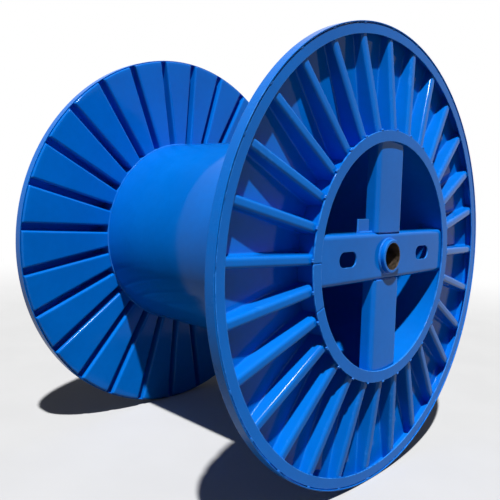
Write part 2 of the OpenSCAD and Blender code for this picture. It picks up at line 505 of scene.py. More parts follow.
class ShaderKit:
    """Shared shader groups, each built once."""

    def __init__(self) -> None:
        """Builds the groups."""
        self.tone = self._tone()
        self.surface = self._surface()
        self.rub_and_highlight = self._rub_and_highlight()
        self.dust = self._dust()

    @staticmethod
    def _tone() -> bpy.types.NodeTree:
        """Slow drift of a paint colour between a deeper and a paler tone.

        Returns:
            The group.
        """
        inputs = [("Deep", COLOUR, None), ("Pale", COLOUR, None), ("Patch", FLOAT, 3.0)]
        tree = Tree.group("paint_tone", NodeKind.SHADER, inputs, [("Color", COLOUR), ("Drift", FLOAT)])
        given = tree.given()
        feeds = {0: tree.coords(), "Scale": given["Patch"]}
        scaled = tree.add("ShaderNodeVectorMath", feeds, operation="SCALE").outputs[0]
        broad = tree.math("MULTIPLY", tree.noise(scaled, scale=1.0, detail=2.0), 0.75)
        fine = tree.math("MULTIPLY", tree.noise(scaled, scale=14.0, detail=4.0), 0.25)
        drift = tree.ramp(tree.math("ADD", broad, fine), 0.32, 0.68)
        colour = tree.mix(drift, given["Deep"], given["Pale"])
        tree.add("NodeGroupOutput", {"Color": colour, "Drift": drift})
        return tree.tree

    @staticmethod
    def _surface() -> bpy.types.NodeTree:
        """Height of a sprayed film over rolled sheet: orange peel, slow sheet waves and dust nibs.

        Returns:
            The group.
        """
        inputs = [("Peel", FLOAT, 1.0), ("Wave", FLOAT, 1.0)]
        tree = Tree.group("sprayed_film", NodeKind.SHADER, inputs, [("Height", FLOAT)])
        given, coords = tree.given(), tree.coords()
        peel = tree.math("MULTIPLY", tree.noise(coords, scale=320.0, detail=2.0), given["Peel"])
        wave = tree.math("MULTIPLY", tree.noise(coords, scale=7.0, detail=1.0), given["Wave"])
        nib = tree.ramp(tree.noise(coords, scale=95.0, detail=1.0), 0.73, 0.80)
        film = tree.math("MULTIPLY_ADD", peel, 0.05, wave)
        tree.add("NodeGroupOutput", {"Height": tree.math("MULTIPLY_ADD", nib, 0.03, film)})
        return tree.tree

    @staticmethod
    def _rub_and_highlight() -> bpy.types.NodeTree:
        """Mask of rubbed paint along edges, together with a painted pale highlight there, broken up by noise.

        Returns:
            The group.
        """
        inputs = [("Wear_And_Highlight", FLOAT, 0.0), ("Amount", FLOAT, 0.5)]
        tree = Tree.group("edge_rub_and_highlight", NodeKind.SHADER, inputs, [("Mask", FLOAT)])
        given, coords = tree.given(), tree.coords()
        grain = tree.math("MULTIPLY", tree.noise(coords, scale=60.0, detail=5.0, rough=0.65), 0.6)
        level = tree.math("MULTIPLY_ADD", tree.noise(coords, scale=5.0, detail=2.0), 0.4, grain)
        need = tree.math("SUBTRACT", 1.0, tree.math("MULTIPLY", given["Amount"], 0.5))
        hit = tree.ramp(tree.math("SUBTRACT", level, need), -0.12, 0.02)
        tree.add("NodeGroupOutput", {"Mask": tree.math("MULTIPLY", hit, given["Wear_And_Highlight"])})
        return tree.tree

    @staticmethod
    def _dust() -> bpy.types.NodeTree:
        """Mask of fine dust on faces that look up, patchy.

        Returns:
            The group.
        """
        tree = Tree.group("settled_dust", NodeKind.SHADER, [("Amount", FLOAT, 0.2)], [("Mask", FLOAT)])
        given, coords = tree.given(), tree.coords()
        normal = tree.add("ShaderNodeNewGeometry").outputs["Normal"]
        up = tree.add("ShaderNodeSeparateXYZ", {0: normal}).outputs["Z"]
        facing = tree.ramp(up, 0.2, 1.0, 0.25, 1.0)
        patch = tree.ramp(tree.noise(coords, scale=9.0, detail=5.0, rough=0.6), 0.35, 0.75, 0.3, 1.0)
        mask = tree.math("MULTIPLY", tree.math("MULTIPLY", facing, patch), given["Amount"])
        tree.add("NodeGroupOutput", {"Mask": mask})
        return tree.tree


@dataclass(frozen=True)
class EnamelFinish:
    """Glossy blue enamel over steel sheet."""

    name: str
    deep: Colour = (0.0, 0.134, 0.560, 1.0)
    pale: Colour = (0.0, 0.158, 0.645, 1.0)
    dust_colour: Colour = (0.30, 0.36, 0.44, 1.0)
    # Paler blue laid on marked edges: partly rubbed paint, partly a painted highlight standing in for the
    # glint along edges.
    painted_edge_highlight: Colour = (0.03, 0.25, 0.80, 1.0)
    rough_low: float = 0.07
    rough_high: float = 0.14
    dust_rough: float = 0.5
    rub_rough: float = 0.2
    dust: float = 0.012
    # Amount of rubbed paint and of painted pale edge highlight.
    rub_and_highlight: float = 0.70
    peel: float = 1.0
    wave: float = 1.0
    bump: float = 0.35
    bump_depth: float = 0.0012
    mirror: float = 0.09

    def build(self, kit: ShaderKit) -> bpy.types.Material:
        """Makes the material.

        Args:
            kit: shared shader groups.

        Returns:
            The material.
        """
        material, tree, shader = new_material(self.name)

        def group(made: bpy.types.NodeTree, **feeds: object) -> bpy.types.NodeOutputs:
            """Adds a shared group and returns its outputs."""
            return tree.add("ShaderNodeGroup", feeds, node_tree=made).outputs

        tone = group(kit.tone, Deep=self.deep, Pale=self.pale)
        dust = group(kit.dust, Amount=self.dust)["Mask"]
        # The point edge mark feeds both the rubbed paint and the painted pale edge highlight.
        wear_and_highlight_mark = tree.add("ShaderNodeAttribute", attribute_name=WEAR_AND_HIGHLIGHT).outputs["Fac"]
        rub_and_highlight = group(kit.rub_and_highlight, Amount=self.rub_and_highlight, Wear_And_Highlight=wear_and_highlight_mark)["Mask"]
        film = group(kit.surface, Peel=self.peel, Wave=self.wave)["Height"]
        colour = tree.mix(dust, tone["Color"], self.dust_colour)
        rough = tree.ramp(tone["Drift"], 0.0, 1.0, self.rough_low, self.rough_high)
        rough = tree.math("MULTIPLY_ADD", dust, self.dust_rough, rough)
        rough = tree.math("MULTIPLY_ADD", rub_and_highlight, self.rub_rough, rough)
        feeds = {
            "Base Color": tree.mix(rub_and_highlight, colour, self.painted_edge_highlight),
            "Roughness": rough,
            "Normal": tree.bump(film, self.bump, self.bump_depth),
            "Specular IOR Level": self.mirror,
        }
        tree.feed(shader, feeds)
        return material


@dataclass(frozen=True)
class BoreFinish:
    """Bare turned steel of a hub bore, browned with light rust, with both colours darkened far below bare
    steel as painted shade for the deep bore.
    """

    name: str
    # Both colours are set very dark as painted shade inside the bore, not only as browned steel and rust.
    steel_darkened_as_shade: Colour = (0.075, 0.058, 0.040, 1.0)
    rust_darkened_as_shade: Colour = (0.036, 0.019, 0.009, 1.0)
    turning_scale: float = 900.0
    bump: float = 0.3
    bump_depth: float = 0.0003

    def build(self) -> bpy.types.Material:
        """Makes the material.

        Returns:
            The material.
        """
        material, tree, shader = new_material(self.name)
        coords = tree.coords()
        patch = tree.ramp(tree.noise(coords, scale=38.0, detail=6.0, rough=0.65), 0.36, 0.62)
        along = tree.add("ShaderNodeSeparateXYZ", {0: coords}).outputs["Y"]
        lines = tree.math("SINE", tree.math("MULTIPLY", along, self.turning_scale * 2 * math.pi))
        grain = tree.math("MULTIPLY_ADD", lines, 0.5, tree.noise(coords, scale=400.0, detail=3.0))
        feeds = {
            "Base Color": tree.mix(patch, self.steel_darkened_as_shade, self.rust_darkened_as_shade),
            "Metallic": tree.ramp(patch, 0.0, 1.0, 0.85, 0.15),
            "Roughness": tree.ramp(patch, 0.0, 1.0, 0.32, 0.65),
            "Normal": tree.bump(grain, self.bump, self.bump_depth),
        }
        tree.feed(shader, feeds)
        return material


class Finishes:
    """Every finish of the drum, built once."""

    def __init__(self) -> None:
        """Builds the materials."""
        kit = ShaderKit()
        tread = EnamelFinish("enamel_tread", wave=0.6, dust=0.03, rub_and_highlight=0.75, rough_low=0.18, rough_high=0.34)
        self.sheet = EnamelFinish("enamel_sheet", wave=1.2).build(kit)
        self.plate = EnamelFinish("enamel_plate", wave=0.5, dust=0.02, rub_and_highlight=0.95).build(kit)
        self.tread = tread.build(kit)
        self.bead = EnamelFinish("enamel_weld", peel=3.0, wave=0.4, pale=(0.02, 0.20, 0.72, 1.0)).build(kit)
        self.bore = BoreFinish("hub_bore").build()


class NodeTrees:
    """Geometry trees that repeat a piece around the axis or run a weld bead along a path."""

    def __init__(self) -> None:
        """Builds the trees."""
        self.round = self._round()
        self.bead = self._bead()

    @staticmethod
    def _round() -> bpy.types.NodeTree:
        """Copies the incoming mesh around the Z axis and joins the copies along their edges.

        Returns:
            The tree.
        """
        inputs = [
            ("Geometry", SHAPE, None),
            ("Count", WHOLE, 28),
            ("Turn", FLOAT, 0.0),
            ("Weld Distance", FLOAT, 0.00001),
            ("Finish", MATERIAL, None),
        ]
        tree = Tree.group("around_axis", NodeKind.GEOMETRY, inputs, [("Geometry", SHAPE)])
        given = tree.given()
        step = tree.math("DIVIDE", 2 * math.pi, given["Count"])
        index = tree.add("GeometryNodeInputIndex").outputs[0]
        spin = tree.add("ShaderNodeCombineXYZ", {"Z": tree.math("MULTIPLY_ADD", index, step, given["Turn"])})
        feeds = {
            "Points": tree.add("GeometryNodePoints", {"Count": given["Count"]}).outputs[0],
            "Instance": given["Geometry"],
            "Rotation": spin.outputs[0],
        }
        copies = tree.add("GeometryNodeInstanceOnPoints", feeds).outputs[0]
        real = tree.add("GeometryNodeRealizeInstances", {0: copies}).outputs[0]
        feeds = {"Geometry": real, "Distance": given["Weld Distance"]}
        tree.paint(tree.add("GeometryNodeMergeByDistance", feeds).outputs[0], given["Finish"])
        return tree.tree

    @staticmethod
    def _bead() -> bpy.types.NodeTree:
        """Runs a rippled weld bead along the incoming edges.

        Returns:
            The tree.
        """
        inputs = [
            ("Geometry", SHAPE, None),
            ("Bead Radius", FLOAT, 0.004),
            ("Ripple Pitch", FLOAT, 0.004),
            ("Ripple Depth", FLOAT, 0.10),
            ("Step", FLOAT, 0.0011),
            ("Seed", WHOLE, 1),
            ("Finish", MATERIAL, None),
        ]
        tree = Tree.group("weld_bead", NodeKind.GEOMETRY, inputs, [("Geometry", SHAPE)])
        given = tree.given()
        curve = tree.add("GeometryNodeMeshToCurve", {"Mesh": given["Geometry"]}).outputs[0]
        feeds = {"Curve": curve, "Length": given["Step"]}
        fine = tree.add("GeometryNodeResampleCurve", feeds, mode="LENGTH").outputs[0]
        length = tree.add("GeometryNodeSplineParameter").outputs["Length"]
        along = tree.math("MULTIPLY", tree.math("DIVIDE", length, given["Ripple Pitch"]), math.pi)
        ripple = tree.math("ABSOLUTE", tree.math("SINE", along))
        spot = tree.add("GeometryNodeInputPosition").outputs[0]
        feeds = {"Vector": spot, "W": given["Seed"], "Scale": 70.0}
        blotch = tree.add("ShaderNodeTexNoise", feeds, noise_dimensions="4D").outputs[0]
        lump = tree.math("MULTIPLY", tree.math("SUBTRACT", blotch, 0.5), 2.5)
        swing = tree.math("ADD", tree.math("SUBTRACT", ripple, 0.6), lump)
        feeds = {"Resolution": 8, "Radius": given["Bead Radius"]}
        ring = tree.add("GeometryNodeCurvePrimitiveCircle", feeds).outputs[0]
        factor = tree.math("MULTIPLY_ADD", swing, given["Ripple Depth"], 1.0)
        feeds = {"Curve": fine, "Profile Curve": ring, "Scale": factor, "Fill Caps": True}
        tube = tree.add("GeometryNodeCurveToMesh", feeds).outputs[0]
        tree.paint(tree.add("GeometryNodeSetShadeSmooth", {"Geometry": tube}).outputs[0], given["Finish"])
        return tree.tree

    @staticmethod
    def apply(
        name: str,
        seed_mesh: bpy.types.Mesh,
        tree: bpy.types.NodeTree,
        values: dict[str, object],
        place: Matrix,
    ) -> bpy.types.Mesh:
        """Runs a tree on a mesh.

        Args:
            name: name of the resulting mesh.
            seed_mesh: what the tree starts from, in flange metres.
            tree: the tree.
            values: its inputs by name.
            place: matrix that then puts the result in the drum.

        Returns:
            The resulting plain mesh.
        """
        carrier = bpy.data.objects.new(name + "_seed", seed_mesh)
        bpy.context.scene.collection.objects.link(carrier)
        modifier = carrier.modifiers.new("tree", "NODES")
        modifier.node_group = tree
        for item in tree.interface.items_tree:
            if item.in_out == "INPUT" and item.name in values:
                modifier[item.identifier] = values[item.name]
        bpy.context.view_layer.update()
        evaluated = carrier.evaluated_get(bpy.context.evaluated_depsgraph_get())
        mesh = bpy.data.meshes.new_from_object(evaluated)
        mesh.name = name
        carrier.modifiers.remove(modifier)
        bpy.data.objects.remove(carrier)
        mesh.transform(place)
        return mesh


def flange_metres() -> Matrix:
    """Matrix from flange millimetres to flange metres."""
    return Matrix.Scale(MM, 4)


@dataclass(frozen=True)
class BeadStyle:
    """Look of a weld bead, lengths in millimetres: ripples are a share of the radius."""

    radius: float
    seed: int
    depth: float = 0.10
    pitch: float = 5.0
    step: float = 1.2


@dataclass
class Workshop:
    """What every sub-assembly shares."""

    finishes: Finishes
    trees: NodeTrees
    bead_crease: float = 80.0

    def weld(self, name: str, paths: Sequence[Sequence[Vector]], style: BeadStyle, place: Matrix) -> None:
        """Makes one piece of weld beads.

        Args:
            name: name of the piece.
            paths: polylines in flange millimetres; a closed one repeats its first point.
            style: look of the beads.
            place: matrix from flange millimetres to the drum.
        """
        points: list[Vector] = []
        edges: list[tuple[int, int]] = []
        for path in paths:
            closed = (path[0] - path[-1]).length < SAME_POINT
            kept = path[:-1] if closed else path
            base = len(points)
            points.extend(p * MM for p in kept)
            edges.extend((base + i, base + i + 1) for i in range(len(kept) - 1))
            if closed:
                edges.append((base + len(kept) - 1, base))
        seed_mesh = bpy.data.meshes.new(name + "_path")
        seed_mesh.from_pydata(points, edges, [])
        values = {
            "Bead Radius": style.radius * MM,
            "Ripple Pitch": style.pitch * MM,
            "Ripple Depth": style.depth,
            "Step": style.step * MM,
            "Seed": style.seed,
            "Finish": self.finishes.bead,
        }
        mesh = NodeTrees.apply(name, seed_mesh, self.trees.bead, values, place @ Matrix.Scale(1 / MM, 4))
        settle(make_object(name, mesh, [self.finishes.bead]), crease=self.bead_crease)


@dataclass
class PressedDisc:
    """Flange sheet with its ribs pressed outward."""

    side: Side
    ribs: int = 28
    rib_half: float = 15.0
    crest_bend: float = 10.0
    mouth_bend: float = 8.0
    sheet: float = 2.5
    rim_bend: float = 6.0
    rim_steps: int = 5
    rim_lift: float = 9.0
    stations: int = 22
    support: float = 1.5
    flat_share: float = 0.7
    crest_steps: int = 8
    # Edge marks of the crest and mouth bends: rubbed paint and a painted pale highlight along them.
    crest_wear_and_highlight: float = 0.35
    mouth_steps: int = 6
    mouth_wear_and_highlight: float = 0.2
    crest_in: float = 59.8
    crest_out: float = 25.8

    @property
    def mouth_half(self) -> float:
        """Half the groove width where it meets the panels."""
        return self.rib_half - self.sheet + self.mouth_bend

    def crest_height(self, x: float) -> float:
        """Height of the rib crest at a distance from the drum axis."""
        run = (SIZES.face_ring_in_r - x) / (SIZES.face_ring_in_r - SIZES.sheet_in_r)
        return self.crest_out + (self.crest_in - self.crest_out) * run

    def half_section(self, crest: float, inset: float, floor: float) -> list[tuple[float, float, float]]:
        """Half of the rib section from the crest to the panel.

        Args:
            crest: height of the outer crest.
            inset: 0 for the outer surface, the sheet thickness for the winding surface.
            floor: height of the winding surface of the panel.

        Returns:
            (across, height, edge mark) points; the edge mark sets rubbed paint and a painted pale highlight.
        """
        flat = self.rib_half - self.crest_bend
        bend = self.crest_bend - inset
        wall = self.rib_half - inset
        foot = self.mouth_bend - self.sheet + inset
        top = crest - inset
        low, high, near = floor + self.mouth_bend, crest - self.crest_bend, self.support
        points = [(0.0, top, 0.0), (flat * self.flat_share, top, 0.0)]
        points += [(u, h, self.crest_wear_and_highlight) for u, h in arc((flat, high), bend, 90, 0, self.crest_steps)]
        points += [(wall, high - near, 0.0), (wall, low + near, 0.0)]
        mouth = arc((self.mouth_half, low), foot, 180, 270, self.mouth_steps)
        points += [(u, h, self.mouth_wear_and_highlight) for u, h in mouth]
        points += [(self.mouth_half + near, floor + self.sheet - inset, 0.0)]
        return points

    def rows(self, inset: float) -> list[tuple[float, float, float]]:
        """Rows of points from the barrel to the rim, with the rolled rim at the end.

        Args:
            inset: 0 for the outer surface, the sheet thickness for the winding surface.

        Returns:
            (radius, winding height of the panel, lowest height) of each row.
        """
        turn = SIZES.face_ring_out_r - self.rim_bend
        span = turn - SIZES.sheet_in_r
        floor, free = -SIZES.panel_set, -math.inf
        rows = [(SIZES.sheet_in_r + span * j / self.stations, floor, free) for j in range(self.stations + 1)]
        bend = self.rim_bend - self.sheet + inset
        for k in range(1, self.rim_steps + 1):
            a = math.pi / 2 * k / self.rim_steps
            rows.append((turn + bend * math.sin(a), floor + bend * (1 - math.cos(a)), free))
        return rows + [(*rows[-1][:2], self.rim_lift)]

    def sector(self) -> Draft:
        """One rib with half a panel on each side, along the local X axis, in millimetres.

        Returns:
            The draft of the sector.
        """
        draft = Draft()
        half_step = math.pi / self.ribs
        loops: dict[float, list[list[int]]] = {}
        for inset in (0.0, self.sheet):
            loops[inset] = []
            for radius, floor, lowest in self.rows(inset):
                half = self.half_section(self.crest_height(radius), inset, floor)
                start, base, _ = half[-1]
                edge = radius * math.sin(half_step)
                half = half + [(start + (edge - start) * t, base, 0.0) for t in (0.5, 1.0)]
                full = [(-u, h, w) for u, h, w in reversed(half[1:])] + half
                loops[inset].append(
                    [draft.point(math.sqrt(radius**2 - u**2), u, max(h, lowest), w) for u, h, w in full]
                )
        outer, inner = loops[0.0], loops[self.sheet]
        count = len(outer[0])
        for j in range(len(outer) - 1):
            for i in range(count - 1):
                draft.face(outer[j][i], outer[j + 1][i], outer[j + 1][i + 1], outer[j][i + 1])
                draft.face(inner[j][i], inner[j][i + 1], inner[j + 1][i + 1], inner[j + 1][i])
        for i in range(count - 1):
            draft.face(outer[0][i], outer[0][i + 1], inner[0][i + 1], inner[0][i])
            draft.face(outer[-1][i], inner[-1][i], inner[-1][i + 1], outer[-1][i + 1])
        return draft

    def build(self, shop: Workshop) -> None:
        """Builds the disc of this side and hides its solid.

        Args:
            shop: what the sub-assemblies share.
        """
        name = f"pressed_disc_{self.side.value}"
        seed_mesh = self.sector().mesh(name + "_sector", flange_metres())
        values = {"Count": self.ribs, "Turn": self.side.rib_turn, "Finish": shop.finishes.sheet}
        place = self.side.place() @ Matrix.Scale(1 / MM, 4)
        mesh = NodeTrees.apply(name, seed_mesh, shop.trees.round, values, place)
        obj = make_object(name, mesh, [shop.finishes.sheet])
        settle(obj, [f"disc_{self.side.value}"])


@dataclass
class RimRings:
    """Rolled hoop and flat rings of a flange, with the welds that hold them."""

    side: Side
    segments: int = 288
    edge: float = 1.2
    seam: float = 2.6
    ribs: int = 28
    root_joints: tuple[float, ...] = (180.0, 199.8)
    stitch_half: float = 5.5
    stitch_down: float = 0.4
    tip_half: float = 6.0
    tip_in: float = 0.6
    tip_up: float = 0.4
    root_half: float = 5.0
    root_out: float = 2.0
    root_up: float = 2.6
    stitch: BeadStyle = BeadStyle(2.1, 11, 0.22)
    tip: BeadStyle = BeadStyle(1.8, 12, 0.22)
    root: BeadStyle = BeadStyle(3.6, 13, 0.22)

    def ring(
        self, name: str, node: str, box: Box, finish: bpy.types.Material, joints: Sequence[float] = ()
    ) -> None:
        """Turns one flat ring.

        Args:
            name: name of the piece.
            node: solid that it replaces.
            box: inner radius, outer radius, low and high height.
            finish: its material.
            joints: angles in degrees of its butt joints.
        """
        r0, r1, low, high = box
        section = rounded([(r0, low), (r1, low), (r1, high), (r0, high)], self.edge)
        show(lathe(section, self.segments, joints=joints), name, self.side.place(), [finish], node)

    def dashes(self, radius: float, half: float, height: float) -> list[list[Vector]]:
        """Short arcs about the axis, one at each rib.

        Args:
            radius: their distance from the axis.
            half: half the length of one.
            height: their height.

        Returns:
            The points of each.
        """
        out = []
        for i in range(self.ribs):
            middle = self.side.rib_turn + 2 * math.pi * i / self.ribs
            turns = [middle + half / radius * k / 4 for k in range(-4, 5)]
            out.append(raised([(radius * math.cos(t), radius * math.sin(t)) for t in turns], height))
        return out

    def stitches(self, shop: Workshop) -> None:
        """Short welds of the face ring to the hoop, one at each rib, and of each rib to the rings.

        Args:
            shop: what the sub-assemblies share.
        """
        s, tag, place = SIZES, self.side.value, self.side.place()
        hoop = self.dashes(s.hoop_in_r - self.seam / 2, self.stitch_half, s.face_ring_high - self.stitch_down)
        tips = self.dashes(s.face_ring_in_r - self.tip_in, self.tip_half, s.face_ring_low + self.tip_up)
        roots = self.dashes(s.ring_r + self.root_out, self.root_half, s.ring_low + self.root_up)
        shop.weld(f"hoop_stitches_{tag}", hoop, self.stitch, place)
        shop.weld(f"rib_tip_welds_{tag}", tips, self.tip, place)
        shop.weld(f"rib_root_welds_{tag}", roots, self.root, place)

    def build(self, shop: Workshop) -> None:
        """Builds the rings and welds of this side.

        Args:
            shop: what the sub-assemblies share.
        """
        tag, s = self.side.value, SIZES
        hoop = (s.hoop_in_r, s.flange_r, 0.0, s.hoop_w)
        face = (s.face_ring_in_r, s.hoop_in_r - self.seam, s.face_ring_low, s.face_ring_high)
        inner = (s.ring_in_r, s.ring_r, s.ring_low, s.ring_high)
        self.ring(f"rolled_hoop_{tag}", f"hoop_{tag}", hoop, shop.finishes.tread)
        self.ring(f"rim_plate_{tag}", f"face_ring_{tag}", face, shop.finishes.plate)
        joints = self.root_joints if self.side is Side.FRONT else ()
        self.ring(f"root_plate_{tag}", f"inner_ring_{tag}", inner, shop.finishes.plate, joints)
        self.stitches(shop)


@dataclass
class FoldedChannel:
    """Plate folded into a channel, with its web outward, made from a flat blank that is then bent."""

    half: float = SIZES.channel_half
    bend: float = SIZES.channel_r
    plate: float = SIZES.channel_t
    depth: float = SIZES.channel_depth
    face: float = SIZES.cross_face
    edge: float = 1.2
    edge_steps: int = 3
    bend_steps: int = 8
    support: float = 2.0

    @property
    def flat(self) -> float:
        """Half the flat width of the web."""
        return self.half - self.bend

    @property
    def mid_bend(self) -> float:
        """Bend radius of the middle of the plate."""
        return self.bend - self.plate / 2

    @property
    def bend_len(self) -> float:
        """Length of the bend along the middle of the plate."""
        return self.mid_bend * math.pi / 2

    @property
    def reach(self) -> float:
        """Half the width of the flat blank."""
        return self.flat + self.bend_len + self.depth - self.bend

    def fold(self, s: float, lift: float) -> tuple[float, float]:
        """Place across and height of a point of the blank.

        Args:
            s: distance across the blank from its middle.
            lift: distance out from the middle of the plate.

        Returns:
            (across, height).
        """
        sign, a = (1.0 if s >= 0 else -1.0), abs(s)
        turn = min(max((a - self.flat) / self.mid_bend, 0.0), math.pi / 2)
        leg = max(a - self.flat - self.bend_len, 0.0)
        radius = self.mid_bend + lift
        across = min(a, self.flat) + radius * math.sin(turn)
        height = self.face - self.bend + radius * math.cos(turn) - leg
        return sign * across, height

    def lines(self) -> list[float]:
        """Distances across the blank at which it is cut into strips.

        Returns:
            The distances, from one edge to the other.
        """
        half = [self.flat - self.support]
        half += [self.flat + self.bend_len * k / self.bend_steps for k in range(self.bend_steps + 1)]
        half += [self.flat + self.bend_len + self.support]
        return [-s for s in reversed(half)] + half

    def draft(
        self,
        start: Callable[[float], float],
        end: Callable[[float], float],
        holes: Sequence[Callable[[float], list[Point2]]],
        inside: Callable[[float, float], bool],
    ) -> Draft:
        """Cuts the blank and folds it.

        Args:
            start: x of the blank's start for a place across the folded channel.
            end: x of its end.
            holes: each gives a hole's outline, grown by a margin.
            inside: tells if a point of the blank lies in a hole.

        Returns:
            The draft, with x along the channel, y across it.
        """
        draft = Draft()
        lines = self.lines()

        def outline(inset: float) -> list[Point2]:
            """Outline of the blank, set in at the edge rounding.

            Args:
                inset: how far it is set in.

            Returns:
                The outline.
            """
            across = [-self.reach + inset, *lines, self.reach - inset]
            right = [(end(self.fold(s, 0.0)[0]) - inset, s) for s in across]
            left = [(start(self.fold(s, 0.0)[0]) + inset, s) for s in reversed(across)]
            return right + left

        def loop(shape: Sequence[Point2], lift: float, wear_and_highlight: float) -> list[int]:
            """Adds one loop of folded points.

            Args:
                shape: points of the blank.
                lift: distance out from the middle of the plate.
                wear_and_highlight: how far the paint is rubbed, which also sets a painted pale highlight on
                    the edge.

            Returns:
                Their indices.
            """
            out = []
            for x, s in shape:
                across, height = self.fold(s, lift)
                out.append(draft.point(x, across, height, wear_and_highlight))
            return out

        rim = self.plate / 2
        levels = []
        for k in range(self.edge_steps + 1):
            a = math.pi / 2 * k / self.edge_steps
            levels.append((self.edge * (1 - math.sin(a)), rim - self.edge * (1 - math.cos(a))))
        profile = levels + [(inset, -lift) for inset, lift in reversed(levels)]
        shapes = [outline, *holes]
        loops: list[list[list[int]]] = []
        for index, shape in enumerate(shapes):
            rings = [loop(shape(inset), lift, 0.0 if abs(lift) == rim else 1.0) for inset, lift in profile]
            loops.append(rings)
            for upper, lower in zip(rings, rings[1:]):
                draft.band(upper, lower, flip=index > 0)
        flat_loops = [shape(self.edge) for shape in shapes]
        coords = [Vector(p) for shape in flat_loops for p in shape]
        edges, base = [], 0
        for shape in flat_loops:
            edges += [(base + i, base + (i + 1) % len(shape)) for i in range(len(shape))]
            base += len(shape)
        across = len(lines) + 2
        edges += [(i, 2 * across - 1 - i) for i in range(1, across - 1)]
        verts, _, triangles, origin, _, _ = delaunay_2d_cdt(coords, edges, [], 1, MESH_TOLERANCE)
        for rings, up in ((0, True), (-1, False)):
            known = [i for rim_loops in loops for i in rim_loops[rings]]
            lift = rim if up else -rim
            index = []
            for vert, source in zip(verts, origin):
                if source:
                    index.append(known[source[0]])
                else:
                    y, h = self.fold(vert.y, lift)
                    index.append(draft.point(vert.x, y, h, 0.0))
            for tri in triangles:
                middle = sum((verts[i] for i in tri), Vector((0.0, 0.0))) / 3
                if inside(middle.x, middle.y):
                    continue
                corners = [index[i] for i in tri]
                draft.face(*(corners if up else reversed(corners)))
        return draft


